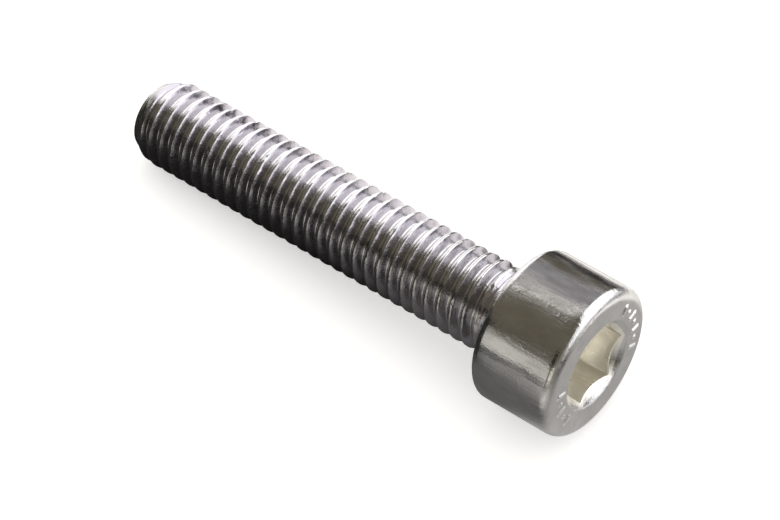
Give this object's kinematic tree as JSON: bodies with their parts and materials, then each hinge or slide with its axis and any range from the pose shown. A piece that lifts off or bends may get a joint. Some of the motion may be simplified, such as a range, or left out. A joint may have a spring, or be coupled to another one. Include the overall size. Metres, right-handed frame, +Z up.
{
  "type": "hex socket cap screw",
  "caption": "Stainless steel cap screw with a smooth round head, a hexagon key socket in its front face and a shank threaded up to the head.",
  "frame": {"origin": "on the surface that the screw lies on, below the middle of its length", "axes": "+X towards the head's front face, along the lying screw; +Z up; the screw's own axis rises 4.2 degrees from +X towards +Z"},
  "size_m": [0.0304, 0.0084, 0.0088],
  "materials": {
    "stainless_steel": "bright rolled and forged stainless steel, lightly scuffed"
  },
  "bodies": {
    "root": {"cap_screw": "stainless_steel"}
  },
  "joints": []
}
